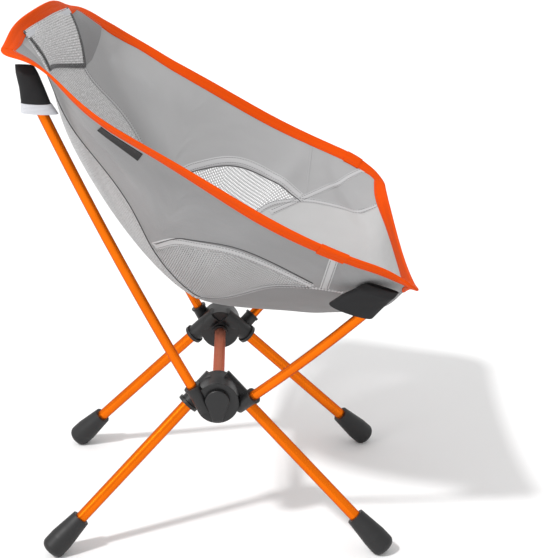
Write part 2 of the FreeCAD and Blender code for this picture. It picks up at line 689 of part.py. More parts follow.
def check_and_export():
    failed = [thing.Name for thing in doc.Objects if {"Invalid", "Error"} & set(thing.State)]
    for name, thing in SUBPARTS:
        if thing.Shape.isNull() or not thing.Shape.isValid() or thing.Shape.Volume <= 0:
            failed.append(name)
    if failed:
        raise RuntimeError("failed objects: " + ", ".join(failed))
    os.makedirs("parts", exist_ok=True)
    for name, thing in SUBPARTS:
        thing.Shape.exportStep("parts/%s.step" % name)
    print("%d sub-parts written" % len(SUBPARTS))


build()
check_and_export()
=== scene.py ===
"""Looks of an ultralight backpacking chair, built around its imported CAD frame."""
import json
import math

import bmesh
import bpy
import numpy as np
from mathutils import Matrix, Vector


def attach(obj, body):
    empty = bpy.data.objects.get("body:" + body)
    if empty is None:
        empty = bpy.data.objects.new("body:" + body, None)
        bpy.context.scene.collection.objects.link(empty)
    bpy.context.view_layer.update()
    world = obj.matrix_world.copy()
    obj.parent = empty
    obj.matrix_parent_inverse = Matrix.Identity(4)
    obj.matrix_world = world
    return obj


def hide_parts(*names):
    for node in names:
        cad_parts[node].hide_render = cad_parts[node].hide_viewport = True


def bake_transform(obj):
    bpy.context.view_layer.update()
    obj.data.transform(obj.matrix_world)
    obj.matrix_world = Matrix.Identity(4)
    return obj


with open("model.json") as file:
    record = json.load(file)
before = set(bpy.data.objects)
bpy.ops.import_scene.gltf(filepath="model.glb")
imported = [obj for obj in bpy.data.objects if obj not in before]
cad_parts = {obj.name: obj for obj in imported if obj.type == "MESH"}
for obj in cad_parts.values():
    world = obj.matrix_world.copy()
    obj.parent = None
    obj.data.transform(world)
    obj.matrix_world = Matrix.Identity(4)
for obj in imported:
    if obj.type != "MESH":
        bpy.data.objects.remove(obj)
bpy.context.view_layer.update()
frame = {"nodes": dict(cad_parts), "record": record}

MM = 0.001
SIDES = (("right", -1), ("left", 1))  # name and sign of X
ENDS = ("rear", "front")
CHAIR = "chair"  # the body that everything but the four legs belongs to


# ---- camera, light and floor
CAMERA_PLACE = (-1.9542, -0.036, 1.0053)
CAMERA_ANGLES = (19.28, -1.18, 0.21)  # degrees below the horizon, from +X towards +Y, and of roll
CAMERA_LENS, CAMERA_SENSOR, CAMERA_REACH = 99.1, 36.0, 60.0  # mm, mm and m
WORLD_STRENGTH = 0.86
SUN_PLACE, SUN_STRENGTH, SUN_ANGLE = (-2.0, 1.9, 3.8), 2.1, 5.0
STRIP_PLACE, STRIP_POWER, STRIP_SIZE = (-1.6, 2.2, 1.3), 14.0, (0.5, 2.0)
LIGHTS_AIM = (0, 0, 0.35)
FLOOR_HALF, FLOOR_HEIGHT = 30.0, -0.0002


def add_object(name, data):
    """A new object of the scene."""
    thing = bpy.data.objects.new(name, data)
    bpy.context.scene.collection.objects.link(thing)
    return thing


def add_camera():
    """A long lens a little above the seat, looking at the chair's right side."""
    pitch, yaw, roll = (math.radians(angle) for angle in CAMERA_ANGLES)
    level = math.cos(pitch)
    forward = Vector((level * math.cos(yaw), level * math.sin(yaw), -math.sin(pitch)))
    right = forward.cross(Vector((0, 0, 1))).normalized()
    up = right.cross(forward)
    rolled_right = right * math.cos(roll) + up * math.sin(roll)
    rolled_up = up * math.cos(roll) - right * math.sin(roll)
    data = bpy.data.cameras.new("camera")
    data.lens, data.sensor_width, data.clip_end = CAMERA_LENS, CAMERA_SENSOR, CAMERA_REACH
    camera = add_object("camera", data)
    axes = Matrix((rolled_right, rolled_up, -forward)).transposed()
    camera.matrix_world = Matrix.Translation(CAMERA_PLACE) @ axes.to_4x4()
    bpy.context.scene.camera = camera


def add_light(kind, name, energy, place, size=None, angle=None):
    """A lamp at a place, aimed at the middle of the chair; angle is in degrees."""
    data = bpy.data.lights.new(name, kind)
    data.energy = energy
    if size:
        data.shape, data.size, data.size_y = "RECTANGLE", size[0], size[1]
    if angle:
        data.angle = math.radians(angle)
    lamp = add_object(name, data)
    lamp.location = place
    lamp.rotation_euler = (Vector(LIGHTS_AIM) - Vector(place)).to_track_quat("-Z", "Y").to_euler()


def add_studio():
    """Pale floor, white surroundings, one main light from the upper left and a weak strip beside it."""
    scene = bpy.context.scene
    scene.view_settings.view_transform = "Standard"
    world = bpy.data.worlds.new("studio")
    world.use_nodes = True
    scene.world = world
    background = world.node_tree.nodes["Background"]
    background.inputs["Color"].default_value = (1, 1, 1, 1)
    background.inputs["Strength"].default_value = WORLD_STRENGTH
    add_light("SUN", "key", SUN_STRENGTH, SUN_PLACE, angle=SUN_ANGLE)
    add_light("AREA", "strip", STRIP_POWER, STRIP_PLACE, size=STRIP_SIZE)
    mesh = bpy.data.meshes.new("floor")
    corners = ((-1, -1), (1, -1), (1, 1), (-1, 1))
    mesh.from_pydata([(x * FLOOR_HALF, y * FLOOR_HALF, FLOOR_HEIGHT) for x, y in corners],
                     [], [(0, 1, 2, 3)])
    floor = add_object("floor", mesh)
    paper = Surface("floor_paper", (0.86, 0.86, 0.86), 0.9)
    paper.bump(paper.noise(900.0), 0.02, 0.0002)
    mesh.materials.append(paper.material)


# ---- materials
class Surface:
    """A Principled material whose colour, roughness and relief come from small node chains."""

    def __init__(self, name, colour, roughness, metallic=0.0, coordinates="Object"):
        self.material = bpy.data.materials.new(name)
        self.material.use_nodes = True
        self.tree = self.material.node_tree
        self.shader = self.tree.nodes["Principled BSDF"]
        self.colour = colour
        self.set("Base Color", (*colour, 1.0))
        self.set("Roughness", roughness)
        self.set("Metallic", metallic)
        self.place = self.new("ShaderNodeTexCoord").outputs[coordinates]
        self.last_bump = None

    def set(self, socket, value):
        self.shader.inputs[socket].default_value = value

    def new(self, kind, **settings):
        node = self.tree.nodes.new(kind)
        for name, value in settings.items():
            setattr(node, name, value)
        return node

    def join(self, value, socket):
        """Link an output, or write a plain value, to an input socket."""
        if isinstance(value, bpy.types.NodeSocket):
            self.tree.links.new(value, socket)
        else:
            socket.default_value = value

    def maths(self, operation, first, second=0.0):
        node = self.new("ShaderNodeMath", operation=operation)
        self.join(first, node.inputs[0])
        self.join(second, node.inputs[1])
        return node.outputs[0]

    def scaled(self, scale):
        """The texture place stretched by three factors."""
        node = self.new("ShaderNodeVectorMath", operation="MULTIPLY")
        self.tree.links.new(self.place, node.inputs[0])
        node.inputs[1].default_value = scale
        return node.outputs[0]

    def axes(self):
        """The texture place as three numbers."""
        node = self.new("ShaderNodeSeparateXYZ")
        self.tree.links.new(self.place, node.inputs[0])
        return node.outputs

    def noise(self, scale, detail=3.0, stretch=None):
        node = self.new("ShaderNodeTexNoise")
        self.tree.links.new(self.scaled(stretch) if stretch else self.place, node.inputs["Vector"])
        node.inputs["Scale"].default_value = scale
        node.inputs["Detail"].default_value = detail
        return node.outputs["Fac"]

    def ramp(self, value, low, high, out_low=0.0, out_high=1.0):
        """Map a value from one range to another, clamped."""
        node = self.new("ShaderNodeMapRange")
        for socket, number in zip(node.inputs, (value, low, high, out_low, out_high)):
            self.join(number, socket)
        return node.outputs[0]

    def tint(self, value, dark, light):
        """Colour that runs from a darker to a lighter shade of the base colour."""
        node = self.new("ShaderNodeMix", data_type="RGBA")
        self.join(value, node.inputs["Factor"])
        colours = [socket for socket in node.inputs if socket.type == "RGBA"]
        for socket, share in zip(colours, (dark, light)):
            socket.default_value = (*[channel * share for channel in self.colour], 1.0)
        output = next(socket for socket in node.outputs if socket.type == "RGBA")
        self.tree.links.new(output, self.shader.inputs["Base Color"])

    def roughen(self, value, low, high):
        self.tree.links.new(self.ramp(value, 0.3, 0.7, low, high), self.shader.inputs["Roughness"])

    def bump(self, height, strength, distance):
        node = self.new("ShaderNodeBump")
        node.inputs["Strength"].default_value = strength
        node.inputs["Distance"].default_value = distance
        self.tree.links.new(height, node.inputs["Height"])
        if self.last_bump:
            self.tree.links.new(self.last_bump, node.inputs["Normal"])
        self.last_bump = node.outputs["Normal"]
        self.tree.links.new(self.last_bump, self.shader.inputs["Normal"])

    def weave(self, pitch):
        """Height of a plain weave of two sets of threads, over UV in metres."""
        across, along, _ = self.axes()
        waves = []
        for axis in (across, along):
            turn = self.maths("MULTIPLY", axis, 2 * math.pi / pitch)
            waves.append(self.maths("ABSOLUTE", self.maths("SINE", turn)))
        return self.maths("MAXIMUM", *waves)


def woven(name, colour, pitch, roughness=0.8, variation=0.05, shine=0.5, wrinkle=0.0005):
    """Cloth of one colour with its weave, faint shade changes, a soft sheen and low wrinkles."""
    cloth = Surface(name, colour, roughness, coordinates="UV")
    cloth.set("Specular IOR Level", shine)
    cloth.set("Sheen Weight", 0.2 * shine)
    cloth.set("Sheen Roughness", 0.5)
    threads = cloth.weave(pitch)
    mottle = cloth.noise(12.0, stretch=(1.0, 0.5, 1.0))
    shade = cloth.maths("ADD", cloth.maths("MULTIPLY", threads, 0.35),
                        cloth.maths("MULTIPLY", mottle, 0.65))
    cloth.tint(cloth.ramp(shade, 0.35, 0.75), 1 - variation, 1 + variation)
    cloth.roughen(mottle, roughness - 0.06, roughness + 0.06)
    cloth.bump(cloth.noise(16.0, detail=2.0, stretch=(1.0, 0.45, 1.0)), 0.5, wrinkle)
    cloth.bump(threads, 0.35, 0.0002)
    return cloth.material


def open_mesh(name, colour, pitch, hole, relief=0.0006, speckle=0.0, rows_apart=1.0):
    """Knitted mesh: staggered holes through the cloth, with raised threads between them.

    hole is a hole's radius as a share of the pitch, and speckle the part of the shade that is fine flecks.
    """
    squareness, rim = 2.4, 0.03  # power that shapes the holes, and half the width of their soft rim
    cloth = Surface(name, colour, 0.7, coordinates="UV")
    cloth.set("Sheen Weight", 0.15)
    across, along, _ = cloth.axes()
    row_height = rows_apart * pitch * math.sqrt(3) / 2
    rows = cloth.maths("DIVIDE", along, row_height)
    row = cloth.maths("FLOOR", rows)
    odd_row = cloth.maths("MODULO", cloth.maths("ABSOLUTE", row), 2.0)
    stagger = cloth.maths("MULTIPLY", odd_row, 0.5)
    columns = cloth.maths("ADD", cloth.maths("DIVIDE", across, pitch), stagger)
    x = cloth.maths("SUBTRACT", cloth.maths("FRACT", columns), 0.5)
    y = cloth.maths("SUBTRACT", cloth.maths("SUBTRACT", rows, row), 0.5)
    powers = [cloth.maths("POWER", cloth.maths("ABSOLUTE", axis), squareness) for axis in (x, y)]
    away = cloth.maths("POWER", cloth.maths("ADD", *powers), 1 / squareness)
    solid = cloth.ramp(away, hole - rim, hole + rim)
    cloth.tree.links.new(solid, cloth.shader.inputs["Alpha"])
    threads = cloth.maths("MULTIPLY", cloth.ramp(away, hole, hole + 0.2), 1 - speckle)
    grain = cloth.ramp(cloth.noise(330.0, detail=1.0), 0.35, 0.65)
    flecks = cloth.maths("MULTIPLY", grain, speckle)
    cloth.tint(cloth.maths("ADD", threads, flecks), 0.5, 1.15)
    cloth.bump(cloth.ramp(away, hole, hole + 0.22), 0.8, relief)
    cloth.roughen(cloth.noise(300.0), 0.6, 0.8)
    return cloth.material


def anodised(name, colour, edge, roughness, metallic):
    """Drawn aluminium tube, dyed: long faint streaks and a darker colour at glancing angles."""
    metal = Surface(name, colour, roughness, metallic)
    metal.set("Specular Tint", (*edge, 1.0))
    streaks = metal.noise(260.0, detail=4.0, stretch=(1.0, 1.0, 0.06))
    clouds = metal.noise(18.0)
    metal.tint(metal.ramp(clouds, 0.35, 0.65), 0.93, 1.04)
    metal.roughen(streaks, roughness - 0.04, roughness + 0.08)
    metal.bump(streaks, 0.05, 0.0001)
    return metal.material


def moulded(name, colour, roughness, rounding, grain=900.0):
    """Moulded plastic or rubber with a fine grain, scuffs, and edges that catch the light."""
    plastic = Surface(name, colour, roughness)
    bevel = plastic.new("ShaderNodeBevel", samples=4)
    bevel.inputs["Radius"].default_value = rounding
    plastic.last_bump = bevel.outputs[0]
    fine, scuffs = plastic.noise(grain), plastic.noise(60.0, detail=5.0)
    plastic.tint(plastic.ramp(scuffs, 0.4, 0.7), 0.9, 1.25)
    plastic.roughen(scuffs, roughness - 0.05, roughness + 0.1)
    plastic.bump(fine, 0.12, 0.0002)
    return plastic.material


def braided(name, colour):
    """Elastic cord with a braided cover."""
    turns = 1800.0  # radians of the strands' pattern in a metre
    cord = Surface(name, colour, 0.75)
    diagonal = cord.maths("ADD", *[cord.maths("MULTIPLY", axis, turns) for axis in cord.axes()[1:]])
    strands = cord.maths("ABSOLUTE", cord.maths("SINE", diagonal))
    cord.tint(strands, 0.6, 1.3)
    cord.roughen(cord.noise(500.0), 0.65, 0.85)
    cord.bump(strands, 0.5, 0.0003)
    return cord.material


FINE_WEAVE = 0.0008  # metres for two threads of the seat's cloth
# One material for each of the record's slots, and some for details and for the outer faces of cloth, which are
# darker copies of the inner faces' materials: painted shade.
MATERIALS = {
    "pole_orange": anodised("anodised_orange", (0.80, 0.155, 0.005), (0.08, 0.002, 0.0), 0.22, 0.75),
    "crossbar_red": anodised("anodised_red", (0.70, 0.27, 0.18), (0.35, 0.06, 0.03), 0.36, 0.8),
    "ferrule_metal": anodised("bare_aluminium", (0.75, 0.75, 0.76), (0.5, 0.5, 0.5), 0.3, 1.0),
    "hub_plastic": moulded("black_nylon", (0.005, 0.005, 0.0055), 0.40, rounding=0.0012),
    "boot_rubber": moulded("black_rubber", (0.006, 0.006, 0.0065), 0.52, rounding=0.001, grain=700.0),
    "cord_black": braided("shock_cord", (0.03, 0.03, 0.03)),
    "pocket_fabric": woven("black_nylon_cloth", (0.008, 0.008, 0.009), 0.0009, 0.7, shine=0.25),
    "hem_white": woven("white_tape", (0.50, 0.51, 0.54), 0.0012, 0.75),
    "seat_fabric": woven("grey_polyester", (0.325, 0.325, 0.328), FINE_WEAVE, 0.8, 0.08, wrinkle=0.008),
    # seat_fabric and this darker copy are lit and shaded copies of one cloth, for its inner and outer faces:
    # painted shade on the outer face, whose stronger cloudy mottle stands in for the shade of its folds
    "seat_outside_painted_shade": woven("grey_polyester_painted_shade", (0.225, 0.225, 0.228), FINE_WEAVE, 0.8, 0.16,
                          wrinkle=0.012),
    # Painted shade and painted light: the seat panel's underside here and its top face on the next line are a
    # dark and a light copy of one cloth
    "seat_under_painted_shade": woven("underside_polyester_painted_shade", (0.17, 0.17, 0.172), FINE_WEAVE, 0.8, 0.10, wrinkle=0.008),
    "seat_light": woven("light_polyester", (0.42, 0.42, 0.42), FINE_WEAVE, 0.8, 0.08, wrinkle=0.008),
    # painted shadow: the dark sheet in the top corners stands for the black pocket's shade seen through the
    # cloth
    "pocket_shadow_grey": woven("painted_pocket_shadow", (0.20, 0.20, 0.203), FINE_WEAVE, 0.8, 0.08),
    "mesh_fabric": open_mesh("grey_mesh", (0.52, 0.52, 0.525), 0.0054, 0.33, rows_apart=0.62),
    # painted shade: the mesh's outer face is a darker copy of its inner face
    "mesh_outside_painted_shade": open_mesh("grey_mesh_painted_shade", (0.46, 0.46, 0.465), 0.0054, 0.33, speckle=0.2,
                              rows_apart=0.62),
    "fine_mesh": open_mesh("spacer_mesh", (0.68, 0.68, 0.685), 0.0036, 0.24, 0.0003, speckle=0.65),
    # painted shade: the spacer mesh's outer face is a darker copy of its inner face
    "fine_outside_painted_shade": open_mesh("spacer_mesh_painted_shade", (0.40, 0.40, 0.403), 0.0036, 0.20, 0.0003, speckle=0.5),
    "binding_orange": woven("orange_binding", (0.66, 0.066, 0.003), 0.0011, 0.62, 0.09, shine=0.03),
    "tape_grey": woven("grey_tape", (0.43, 0.43, 0.435), 0.0010, 0.75),
    "thread_orange": woven("orange_thread", (0.40, 0.03, 0.004), 0.0006, 0.6),
    "thread_grey": woven("grey_thread", (0.16, 0.16, 0.165), 0.0006, 0.7),
    # partly painted shade: the head pocket's near-black edge stands for its doubled mesh and the shade of the
    # gap under it
    "edge_mesh_and_shade": open_mesh("edge_mesh_and_shade", (0.06, 0.06, 0.062), 0.0034, 0.2),
    "piping_dark": woven("dark_piping", (0.035, 0.035, 0.036), 0.0009, 0.6),
}


# ---- the seat's surface, close to the CAD's
# A place on the seat is (across, station): -1 to 1 from the right edge to the left one, in half widths, and 0
# to 1 from the top edge to the front one. The tables below are in millimetres unless they are shares.
EDGE_STATIONS = (0, 0.08, 0.17, 0.26, 0.40, 0.52, 0.65, 0.78, 0.86, 0.93, 1.0)
EDGE_HALF_WIDTH = (173, 206, 240, 257, 262, 264, 267, 268, 266, 259, 250)
EDGE_Y = (248, 203, 162, 127, 60, 0, -65, -127, -168, -205, -241)
EDGE_Z = (661, 654, 628, 603, 562, 526, 487, 455, 437, 420, 393)
CENTRE_STATIONS = (0, 0.12, 0.24, 0.36, 0.46, 0.55, 0.66, 0.78, 0.89, 0.95, 1.0)
CENTRE_Y = (236, 219, 200, 155, 104, 56, 4, -88, -192, -230, -246)
CENTRE_Z = (690, 609, 536, 450, 374, 322, 297, 289, 290, 310, 358)
SLACK_STATIONS = (0, 0.2, 0.4, 0.6, 0.8, 1.0)
SLACK = (0.5, 0.35, 0.5, 0.9, 0.9, 1.3)
TWIST_END, TWIST_FADE = 0.39, 1.3  # where the twist of the top ends, and how quickly it dies out
TOP_BOW = 11.0  # how far the top edge bows to the rear on its right half
BOW_MIDDLE, BOW_ACROSS, BOW_ALONG = -0.50, 0.36, 0.08  # where the bow is, and how far it spreads
LEFT_TWIST, LEFT_TIP_SHIFT, LEFT_TIP_DROP = 39.0, 29.0, 9.0  # left end of the top and its pole's tip


def natural_spline(knots, values):
    """Natural cubic spline through the values, as a function of an array of stations."""
    x, y = np.array(knots, float), np.array(values, float)
    gap, count = np.diff(x), len(x)
    matrix, right = np.eye(count), np.zeros(count)
    for i in range(1, count - 1):
        matrix[i, i - 1:i + 2] = gap[i - 1], 2 * (gap[i - 1] + gap[i]), gap[i]
        right[i] = 6 * ((y[i + 1] - y[i]) / gap[i] - (y[i] - y[i - 1]) / gap[i - 1])
    curve = np.linalg.solve(matrix, right)

    def value(at):
        at = np.asarray(at, float)
        i = np.clip(np.searchsorted(x, at, side="right") - 1, 0, count - 2)
        a, b, width = x[i + 1] - at, at - x[i], gap[i]
        bend = (curve[i] * a ** 3 + curve[i + 1] * b ** 3) / (6 * width)
        return (bend + (y[i] / width - curve[i] * width / 6) * a
                + (y[i + 1] / width - curve[i + 1] * width / 6) * b)
    return value


edge_half_width, edge_y, edge_z = (
    natural_spline(EDGE_STATIONS, row) for row in (EDGE_HALF_WIDTH, EDGE_Y, EDGE_Z))
centre_y, centre_z = (natural_spline(CENTRE_STATIONS, row) for row in (CENTRE_Y, CENTRE_Z))
slack = natural_spline(SLACK_STATIONS, SLACK)
column_edge = natural_spline((0, 0.15, 0.24, 0.3, 0.36, 0.43, 0.47, 0.52, 0.6),
                             (0.47, 0.45, 0.50, 0.54, 0.55, 0.49, 0.41, 0.345, 0.29))
seat_edge = natural_spline((0.6, 0.665, 0.713, 0.76, 0.8, 0.9, 1.0),
                           (0.29, 0.45, 0.61, 0.675, 0.70, 0.70, 0.75))
moon_edge = natural_spline((0.47, 0.49, 0.52, 0.562, 0.607, 0.66, 0.71, 0.77, 0.81),
                           (0.37, 0.53, 0.635, 0.705, 0.75, 0.766, 0.755, 0.712, 0.665))
left_drop = natural_spline((0, 0.03, 0.1, 0.15, 0.2, 0.3, 0.4, 1.0),
                           (1, 3, 13, 12, 9, 3, 0, 0))  # how far the left side lies below the right one
COLUMN_END = 0.60  # station where the mesh column meets the seat panel
MOON_START, MOON_END = 0.476, 0.79  # stations of the half moon's two points
MOON_FIRST, MOON_LAST = 0.47, 0.81  # stations between which its outer edge is drawn
CORNER_ACROSS, CORNER_ALONG = 0.075, 0.030  # share of the seat taken by its rounded corners


def piping_line(station):
    """The seam down the side of the mesh column and on along the side of the seat panel."""
    return np.where(station < COLUMN_END, column_edge(station), seat_edge(station))


def moon_top(station):
    """The outer edge of the half moon of mesh, or 0 above and below it."""
    reach = moon_edge(np.clip(station, MOON_FIRST, MOON_LAST))
    return np.where((station > MOON_FIRST) & (station < MOON_LAST), reach, 0)


def side_inner_edge(station):
    """Where a side panel starts: at the column, over the half moon, then at the seat panel."""
    return np.maximum(moon_top(station), piping_line(station))


def plain_point(across, station):
    """The middle of the smooth cloth in metres, for arrays of places on it."""
    twist = np.clip(1 - station / TWIST_END, 0, 1) ** TWIST_FADE
    soft = slack(station)
    rise = (np.hypot(across, soft) - soft) / (np.hypot(1, soft) - soft)
    side_y, side_z = edge_y(station), edge_z(station) - left_drop(station) * (across > 0)
    bow = TOP_BOW * np.exp(-((across - BOW_MIDDLE) / BOW_ACROSS) ** 2 - (station / BOW_ALONG) ** 2)
    forward = LEFT_TWIST * twist * (across + 1) / 2 - bow
    mid_y, mid_z = centre_y(station), centre_z(station)
    return np.stack([across * edge_half_width(station), mid_y + (side_y - mid_y) * rise - forward,
                     mid_z + (side_z - mid_z) * rise], axis=-1) * MM


def unit(vectors):
    """The same directions with a length of one."""
    return vectors / np.maximum(np.linalg.norm(vectors, axis=-1, keepdims=True), 1e-12)


def outward(across, station):
    """Unit normal of the smooth cloth, pointing out of the bucket."""
    step = 0.002
    sideways = plain_point(across + step, station) - plain_point(across - step, station)
    below, above = np.minimum(station + step, 1), np.maximum(station - step, 0)
    down = plain_point(across, below) - plain_point(across, above)
    return unit(np.cross(sideways, down))


# Soft folds in the cloth: places of both ends, half width and height in metres; FOLD_STRENGTH raises them all.
FOLD_STRENGTH = 2.4
FOLDS = (
    ((-0.86, 0.20), (-0.62, 0.50), 0.018, 0.0022), ((-0.70, 0.24), (-0.70, 0.44), 0.014, -0.0018),
    ((-0.93, 0.30), (-0.90, 0.62), 0.016, -0.0016), ((0.86, 0.20), (0.62, 0.50), 0.018, 0.0018),
    ((0.75, 0.22), (0.88, 0.55), 0.016, -0.0016), ((0.55, 0.95), (0.93, 0.84), 0.014, 0.0025),
    ((-0.55, 0.95), (-0.93, 0.84), 0.014, 0.0025), ((-0.30, 0.80), (0.45, 0.92), 0.020, 0.0020),
    ((0.40, 0.74), (-0.35, 0.90), 0.018, -0.0018), ((0.60, 0.70), (0.95, 0.80), 0.016, -0.0016),
)


def fold_height(across, station):
    """How far the folds lift the cloth off its smooth shape."""
    half, long = 0.262, 0.78  # rough metres for one unit across and one unit of station
    x, y = across * half, station * long
    height = np.zeros(np.broadcast(across, station).shape)
    for (u0, v0), (u1, v1), width, lift in FOLDS:
        start = np.array((u0 * half, v0 * long))
        run = np.array(((u1 - u0) * half, (v1 - v0) * long))
        length = math.hypot(*run)
        t = ((x - start[0]) * run[0] + (y - start[1]) * run[1]) / length ** 2
        off = ((x - start[0]) * run[1] - (y - start[1]) * run[0]) / length
        ends = np.clip(np.sin(np.pi * np.clip(t, 0, 1)), 0, 1)
        height += FOLD_STRENGTH * lift * np.exp(-(off / width) ** 2) * ends
    return height


def seat_point(across, station, offset=0.0):
    """A point of the folded cloth, lifted off its middle by an offset in metres."""
    lift = fold_height(across, station) + offset
    return plain_point(across, station) + outward(across, station) * lift[..., None]


def round_corners(across, station):
    """Draw the places near the seat's four corners in, so that the corners are round."""
    a = (np.abs(across) - (1 - CORNER_ACROSS)) / CORNER_ACROSS
    near_top = station < 0.5
    b = np.where(near_top, CORNER_ALONG - station, station - (1 - CORNER_ALONG)) / CORNER_ALONG
    inside = (a > 0) & (b > 0)
    a0, b0 = np.where(inside, a, 1.0), np.where(inside, b, 0.0)
    shrink = np.maximum(a0, b0) / np.maximum(np.hypot(a0, b0), 1e-9)
    new_across = np.sign(across) * ((1 - CORNER_ACROSS) + a0 * shrink * CORNER_ACROSS)
    new_b = b0 * shrink * CORNER_ALONG
    new_station = np.where(near_top, CORNER_ALONG - new_b, (1 - CORNER_ALONG) + new_b)
    return np.where(inside, new_across, across), np.where(inside, new_station, station)


def add_piece(name, vertices, faces, material, uvs, body=CHAIR):
    """A smooth mesh object that rides on a body; uvs are one pair in metres for each vertex."""
    mesh = bpy.data.meshes.new(name)
    mesh.from_pydata([tuple(v) for v in vertices], [], faces)
    layer = mesh.uv_layers.new(name="UVMap")
    corners = np.zeros(len(mesh.loops), int)
    mesh.loops.foreach_get("vertex_index", corners)
    layer.data.foreach_set("uv", np.asarray(uvs, float)[corners].ravel())
    mesh.materials.append(MATERIALS[material])
    piece = add_object(name, mesh)
    mesh.polygons.foreach_set("use_smooth", [True] * len(mesh.polygons))
    if body:
        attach(piece, body)
    return piece


def grid_faces(rows, columns, start=0, closed=False, flip=False):
    """Quads between the rows of a grid of vertices; closed joins the last column to the first."""
    faces = []
    for i in range(rows - 1):
        for j in range(columns if closed else columns - 1):
            k = (j + 1) % columns
            quad = (start + i * columns + j, start + i * columns + k,
                    start + (i + 1) * columns + k, start + (i + 1) * columns + j)
            faces.append(quad[::-1] if flip else quad)
    return faces


def tube_faces(rows, columns, start=0):
    """The faces of a tube: its rings joined to each other, and a cap on each end."""
    last = start + (rows - 1) * columns
    caps = [tuple(range(start, start + columns))[::-1], tuple(range(last, last + columns))]
    return grid_faces(rows, columns, start, closed=True) + caps


def lengths_along(points, axis):
    """Distance along one axis of a grid of points, from its start."""
    steps = np.linalg.norm(np.diff(points, axis=axis), axis=-1)
    zero = np.zeros_like(np.take(steps, [0], axis=axis))
    return np.concatenate([zero, np.cumsum(steps, axis=axis)], axis=axis)


def ring_uvs(section, line):
    """UVs in metres for rings of one closed section carried along a line of points."""
    around = np.concatenate([[0], np.cumsum(np.linalg.norm(np.diff(section, axis=0), axis=1))])
    along = lengths_along(line[:, None], 0)[:, 0]
    return np.stack(np.meshgrid(around, along), axis=-1).reshape(-1, 2)


def turn_outward(piece, crease=None):
    """Make a closed mesh's faces look outward, and sharpen its edges above an angle in degrees."""
    work = bmesh.new()
    work.from_mesh(piece.data)
    bmesh.ops.recalc_face_normals(work, faces=work.faces)
    if work.calc_volume(signed=True) < 0:
        bmesh.ops.reverse_faces(work, faces=work.faces)
    work.to_mesh(piece.data)
    work.free()
    if crease:
        piece.data.set_sharp_from_angle(angle=math.radians(crease))


def shell(name, across, station, thickness, material, offset=0.0, outside=None):
    """A closed thin sheet over a grid of places on the seat; returns it, its flat size and its area."""
    rows, columns = across.shape
    outer = seat_point(across, station, offset + thickness / 2)
    inner = seat_point(across, station, offset - thickness / 2)
    width, middle = lengths_along(outer, 1), columns // 2
    uv = np.stack([width - width[:, middle:middle + 1], lengths_along(outer, 0)], axis=-1)
    uv[..., 1] = uv[:, middle:middle + 1, 1]
    count = rows * columns
    faces = grid_faces(rows, columns) + grid_faces(rows, columns, count, flip=True)
    rim = list(range(columns)) + [i * columns + columns - 1 for i in range(1, rows)]
    rim += [(rows - 1) * columns + j for j in range(columns - 2, -1, -1)]
    rim += [i * columns for i in range(rows - 2, 0, -1)]
    for here, there in zip(rim, rim[1:] + rim[:1]):
        faces.append((there, here, here + count, there + count))
    vertices = np.concatenate([outer.reshape(-1, 3), inner.reshape(-1, 3)])
    piece = add_piece(name, vertices, faces, material, np.tile(uv.reshape(-1, 2), (2, 1)))
    piece.data.set_sharp_from_angle(angle=math.radians(50))
    # the outer faces take the darker copy of the cloth: painted shade
    if outside:
        piece.data.materials.append(MATERIALS[outside])
        outer_count = (rows - 1) * (columns - 1)
        indices = [1] * outer_count + [0] * (len(faces) - outer_count)
        piece.data.polygons.foreach_set("material_index", indices)
    cut = (float(width[:, -1].max()), float(uv[-1, middle, 1]))
    quads = np.diff(outer[:, :-1], axis=0), np.diff(outer[:-1], axis=1)
    return piece, cut, float(np.linalg.norm(np.cross(*quads), axis=-1).sum())


def panel(name, low, high, first, last, columns, rows, material, outside, thickness=1.1 * MM,
          side=1):
    """A panel of cloth between two seams, each a function of the station; side -1 mirrors it."""
    station = np.linspace(first, last, rows)[:, None] * np.ones(columns)
    share = np.linspace(0, 1, columns)[None, :]
    left, right = low(station[:, :1]), high(station[:, :1])
    across = left + (right - left) * share
    if side < 0:
        across = -across[:, ::-1]
    across, station = round_corners(across, station)
    return shell(name, across, station, thickness, material, outside=outside)


def tangents(points):
    """Unit directions along a line of points."""
    return unit(np.gradient(points, axis=0))


def strip(name, points, across, out, profile, material, slot, body=CHAIR):
    """A closed profile carried along a line; profile points are (along across, along out) in metres."""
    profile = np.asarray(profile, float)
    grid = points[:, None] + across[:, None] * profile[:, :1] + out[:, None] * profile[:, 1:]
    faces = tube_faces(len(points), len(profile))
    piece = add_piece(name, grid.reshape(-1, 3), faces, material, ring_uvs(profile, points), body)
    turn_outward(piece, crease=35)
    return piece


TAPE_BEVEL = 0.105  # share of a tape's half width that its bevelled edge takes


def flat_profile(half_width, low, high):
    """A tape's section between two heights."""
    edge = half_width * (1 - TAPE_BEVEL)
    middle = (low + high) / 2
    return [(-half_width, middle), (-edge, low), (edge, low),
            (half_width, middle), (edge, high), (-edge, high)]


def round_profile(radius, sides=8):
    """A round section."""
    angles = np.linspace(0, 2 * math.pi, sides, endpoint=False)
    return [(radius * math.cos(a), radius * math.sin(a)) for a in angles]


def surface_line(across, station):
    """Points along a line on the seat, with unit directions across the line and out of the bucket."""
    points, out = seat_point(across, station), outward(across, station)
    return points, unit(np.cross(out, tangents(points))), out


def seam_line(line, first, last, side, count=160):
    """The surface line along a seam, which is a function of the station."""
    station = np.linspace(first, last, count)
    return surface_line(side * line(station), station)


STITCH_SHARE, STITCH_SKIP = 0.62, 0.004  # share of the pitch that shows, and metres left bare at each end
STITCH_SHAPE = ((0.0, 0.25), (0.18, 0.9), (0.5, 1.1), (0.82, 0.9), (1.0, 0.25))  # shares of length and radius


